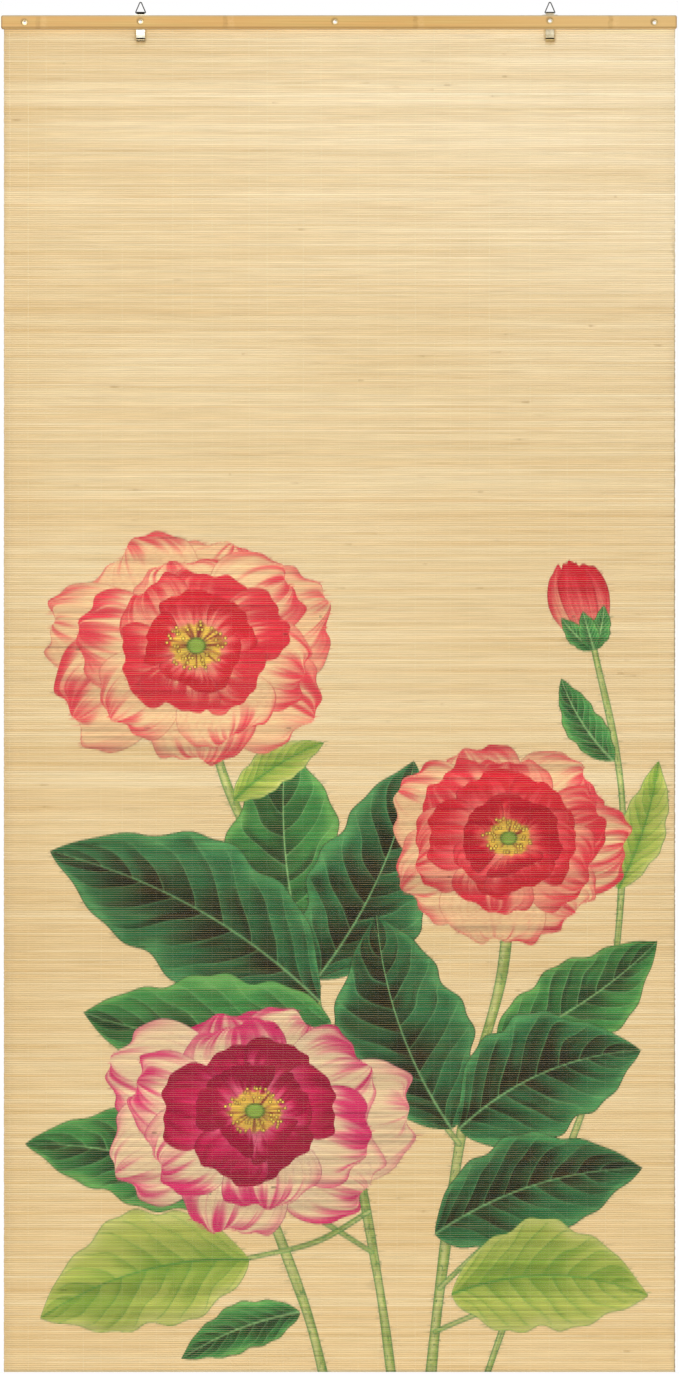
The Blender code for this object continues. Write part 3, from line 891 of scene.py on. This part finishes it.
def lath_finish(joints):
    """Planed bamboo lath under clear lacquer: fine grain lines, and a soft brown scar at each joint.

    It has painted shade round the rivets, a painted highlight on its top edge, and painted shade
    along its lower edge.
    """
    material, tree = new_finish("planed_bamboo_lacquered")
    axes = own_axes(tree)
    # grain lines 0.5 to 1 mm wide and 200 mm long, in stripes 6 mm wide
    grain = stretched_noise(tree, (5, 1100, 1100), detail=4.0)
    broad = stretched_noise(tree, (9, 160, 160), detail=2.0)
    colour = toned(tree, grain, [(0.30, "c2984f"), (0.62, "d8b267")])
    colour = over(tree, colour, "d39a50", ranged(tree, broad, 0.0, 0.62))
    # it pales a little towards its right end
    colour = over(tree, colour, "dfb878", eased(tree, axes["X"], 0.05, 0.42, 0.65))
    # a joint is a soft brown patch 5 mm wide, a little wavy, with paler mottling to its right
    wave = stretched_noise(tree, (40, 40, 260), detail=1.0)
    run = add_node(tree, "ShaderNodeMath", {0: wave, 1: 0.004, 2: axes["X"]}, operation="MULTIPLY_ADD")
    run = add_node(tree, "ShaderNodeCombineXYZ", {"X": run.outputs[0]}).outputs["Vector"]
    off, right = (nearest(tree, run, [(at * MM + far, 0, 0) for at in joints]) for far in (0.0023, 0.0103))
    scar = eased(tree, off, 0.0040, 0.0018, 0.33)
    broken = ranged(tree, stretched_noise(tree, (120, 120, 300), detail=2.0), 0.4, 1.2)
    swell = eased(tree, right, 0.0060, 0.0010, 0.18)
    mottled = ranged(tree, stretched_noise(tree, (260, 260, 420), detail=2.0), 0.1, 1.3)
    colour = over(tree, colour, "f2cf96", swell, mottled)
    colour = over(tree, colour, "a0752f", scar, broken)
    # painted shade round each rivet, most to its upper left
    rivet_shade = eased(tree, off_rivets(tree, -0.0007, 0.0009), 0.0058, 0.0042, 0.40)
    colour = over(tree, colour, "8a6636", rivet_shade)
    # a painted highlight greys the top edge; painted shade browns the lower edge, up to its rounding
    colour = over(tree, colour, "bcbba5", eased(tree, axes["Z"], -0.0194, -0.0170, 0.55))
    low_edge = eased(tree, axes["Z"], -0.0315, -0.0324, 0.78)
    rounding = eased(tree, axes["Z"], -0.0329, -0.0338, 0.08, low=1.0)
    colour = over(tree, colour, "8f6c36", low_edge, rounding)
    # the sawn ends are darker
    out = add_node(tree, "ShaderNodeMath", {0: axes["X"]}, operation="ABSOLUTE").outputs[0]
    colour = over(tree, colour, "9a7445", eased(tree, out, 0.4465, 0.4495, 0.5))
    height = add_node(tree, "ShaderNodeMath", {0: grain, 1: swell}, operation="ADD").outputs[0]
    surface(tree, {
        "Base Color": colour,
        "Roughness": ranged(tree, grain, 0.50, 0.38),
        "Specular IOR Level": 0.35,
        "Coat Weight": 0.10,
        "Coat Roughness": 0.35,
    }, height, 0.35, 0.0003)
    return material


def nickel_finish(name, dark, bright, rough, shade_stops=None, oxide=None, crescent=False):
    """Nickel-plated sheet steel, pressed: bright or tarnished, dulled by fine rub marks.

    Its stops of painted shade and of oxide give a value at each height. The plating's colour is
    multiplied by the painted shade, and it looks like metal as far as oxide is white. A crescent
    of painted shade lies on the upper left of a rivet's flange.
    """
    material, tree = new_finish(name)
    # rub marks 1 mm wide and 4 mm long, stains 4.5 mm across
    rub = stretched_noise(tree, (900, 900, 260), detail=4.0)
    stain = stretched_noise(tree, (220, 220, 220), detail=2.0)
    colour = toned(tree, stain, [(0.32, dark), (0.60, bright)])
    # painted shade along z, on the hangers
    if shade_stops:
        colour = shaded(tree, colour, tone_along_z(tree, shade_stops))
    if crescent:
        # a crescent of painted shade on the upper left of the rivet's flange
        crescent_shade = eased(tree, off_rivets(tree, 0.0005, -0.0009), 0.0030, 0.0043, 0.70)
        colour = over(tree, colour, "7a6038", crescent_shade)
    surface(tree, {
        "Base Color": colour,
        "Metallic": tone_along_z(tree, oxide) if oxide else 1.0,
        "Roughness": ranged(tree, rub, rough - 0.05, rough + 0.09),
    }, rub, 0.12, 0.00005)
    return material


def hanger_painted_shade(lip, low, neck, eye_from):
    """Painted shade on a hanger, as stops of z (mm) and colour, the lowest first.

    A dark line of painted shade lies above its lip and a duller tone, low, above that. The neck
    has its own tone, and painted shade darkens the rolled eye from eye_from (mm) on.
    """
    bend_shade, eye_shade, clean = "1e1a18", "2a2624", "ffffff"
    return [
        (-51.4, lip), (-48.5, lip), (-48.3, bend_shade), (-46.6, bend_shade), (-46.2, low), (-43.5, low),
        (-41.0, clean), (-17.6, clean), (-16.8, neck), (eye_from - 0.4, neck),
        (eye_from, eye_shade), (-11.7, eye_shade),
    ]


def wire_finish():
    """Drawn steel wire: dark grey, with faint lines from the die, 0.7 mm wide and 3 mm long."""
    material, tree = new_finish("drawn_steel_wire")
    lines = stretched_noise(tree, (1500, 1500, 300))
    surface(tree, {
        "Base Color": toned(tree, lines, [(0.30, "403f41"), (0.65, "6a6967")]),
        "Metallic": 1.0,
        "Roughness": ranged(tree, lines, 0.28, 0.42),
    }, lines, 0.15, 0.00004)
    return material


# Floor, light and camera

def add_floor(height, radius):
    """A round pale floor, a little below the cloth's lower edge."""
    turn = np.linspace(0, 2 * math.pi, 96, endpoint=False)
    rim = np.column_stack([radius * np.cos(turn), radius * np.sin(turn), np.full(96, height)])
    mesh = bpy.data.meshes.new("floor")
    mesh.from_pydata(rim.tolist(), [], [list(range(96))])
    floor = add_object("floor", mesh)
    material, tree = new_finish("matt_white_floor")
    surface(tree, {"Base Color": paint("f4f4f2"), "Roughness": 0.9})
    mesh.materials.append(material)


def add_softbox(name, place, aim, size, power):
    """A square area light at place that faces aim; the camera doesn't see it."""
    light = bpy.data.lights.new(name, "AREA")
    light.shape = "SQUARE"
    light.size = size
    light.energy = power
    lamp = add_object(name, light)
    away = np.array(place) - aim
    lamp.location = place
    lamp.visible_camera = False
    lamp.rotation_euler = (
        math.atan2(math.hypot(away[0], away[1]), away[2]), 0.0, math.atan2(away[1], away[0]) + math.pi / 2,
    )


def add_surroundings():
    """A white studio all round: full white to the camera, softer as light."""
    world = bpy.data.worlds.new("studio")
    world.use_nodes = True
    bpy.context.scene.world = world
    tree = world.node_tree
    tree.nodes.clear()
    seen = add_node(tree, "ShaderNodeLightPath").outputs["Is Camera Ray"]
    strength = add_node(tree, "ShaderNodeMapRange", {"Value": seen, "To Min": 0.36, "To Max": 1.0})
    back = add_node(tree, "ShaderNodeBackground", {
        "Color": (1.0, 1.0, 1.0, 1.0), "Strength": strength.outputs["Result"],
    })
    add_node(tree, "ShaderNodeOutputWorld", {"Surface": back.outputs["Background"]})
    bpy.context.scene.view_settings.view_transform = "Standard"


def add_camera(distance):
    """A long lens straight in front of the photograph's middle, at a distance from the cloth."""
    camera = bpy.data.cameras.new("camera")
    camera.sensor_width = 36.0
    camera.lens = camera.sensor_width * distance / (PHOTO_ROWS * PIXEL)
    camera.clip_end = 50.0
    stand = add_object("camera", camera)
    right, down = PHOTO_COLUMNS / 2 - ORIGIN_COLUMN, PHOTO_ROWS / 2 - ORIGIN_ROW
    stand.location = (right * PIXEL, CLOTH_LOW.y - distance, -down * PIXEL)
    stand.rotation_euler = (math.pi / 2, 0.0, 0.0)
    bpy.context.scene.camera = stand


def build_scene():
    """Cloth, finishes of the CAD nodes, floor, light and camera."""
    cloth = bamboo_cloth_finish()
    thread = thread_finish()
    for slivers, threads, count in build_cloth():
        slivers.data.materials.append(cloth)
        threads.data.materials.append(thread)
        for piece in (slivers, threads):
            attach(piece, "root")
        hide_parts("cloth")

    finishes = {
        "head_lath_front": lath_finish(FRONT_JOINTS),
        "head_lath_back": lath_finish(BACK_JOINTS),
        "ring": wire_finish(),
        # each hanger's stops along z darken its bend and rolled eye with painted shade
        "hanger_left": nickel_finish(
            "nickel_plated_steel_bright", "c8c4b6", "dcd8c8", 0.28,
            shade_stops=hanger_painted_shade("b8aa90", "cfcfca", "dedad2", -14.4),
        ),
        "hanger_right": nickel_finish(
            "nickel_plated_steel_dulled", "c4b798", "e0d4b6", 0.36,
            shade_stops=hanger_painted_shade("f0dcb0", "f2eee4", "ffffff", -13.3),
            oxide=[
                (-51.4, "ffffff"), (-17.6, "ffffff"), (-16.8, "000000"), (-13.9, "000000"),
                (-13.5, "ffffff"), (-11.7, "ffffff"),
            ],
        ),
        # the rivets' finish: tarnished plating, with a crescent of painted shade
        "rivet": nickel_finish("nickel_plated_steel_tarnished_painted_shade", "c4ae7c", "e0ca98", 0.45, crescent=True),
    }
    for name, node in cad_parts.items():
        for start, material in finishes.items():
            if name.startswith(start):
                for k in range(len(node.material_slots)):
                    node.material_slots[k].material = material

    add_floor(height=-1.95, radius=1.25)
    add_surroundings()
    lights = [
        # name, place, size, power
        ("key", (-1.5, -3.9, 0.3), 2.4, 99),
        ("fill", (2.4, -4.2, -1.1), 2.6, 67),
        ("top", (0.0, -0.8, 2.6), 2.0, 9),
        ("back", (0.8, 4.2, 0.4), 2.6, 130),
    ]
    for name, place, size, power in lights:
        add_softbox(name, place, (0.0, 0.0, -0.9), size, power)
    add_camera(distance=10.0)


build_scene()
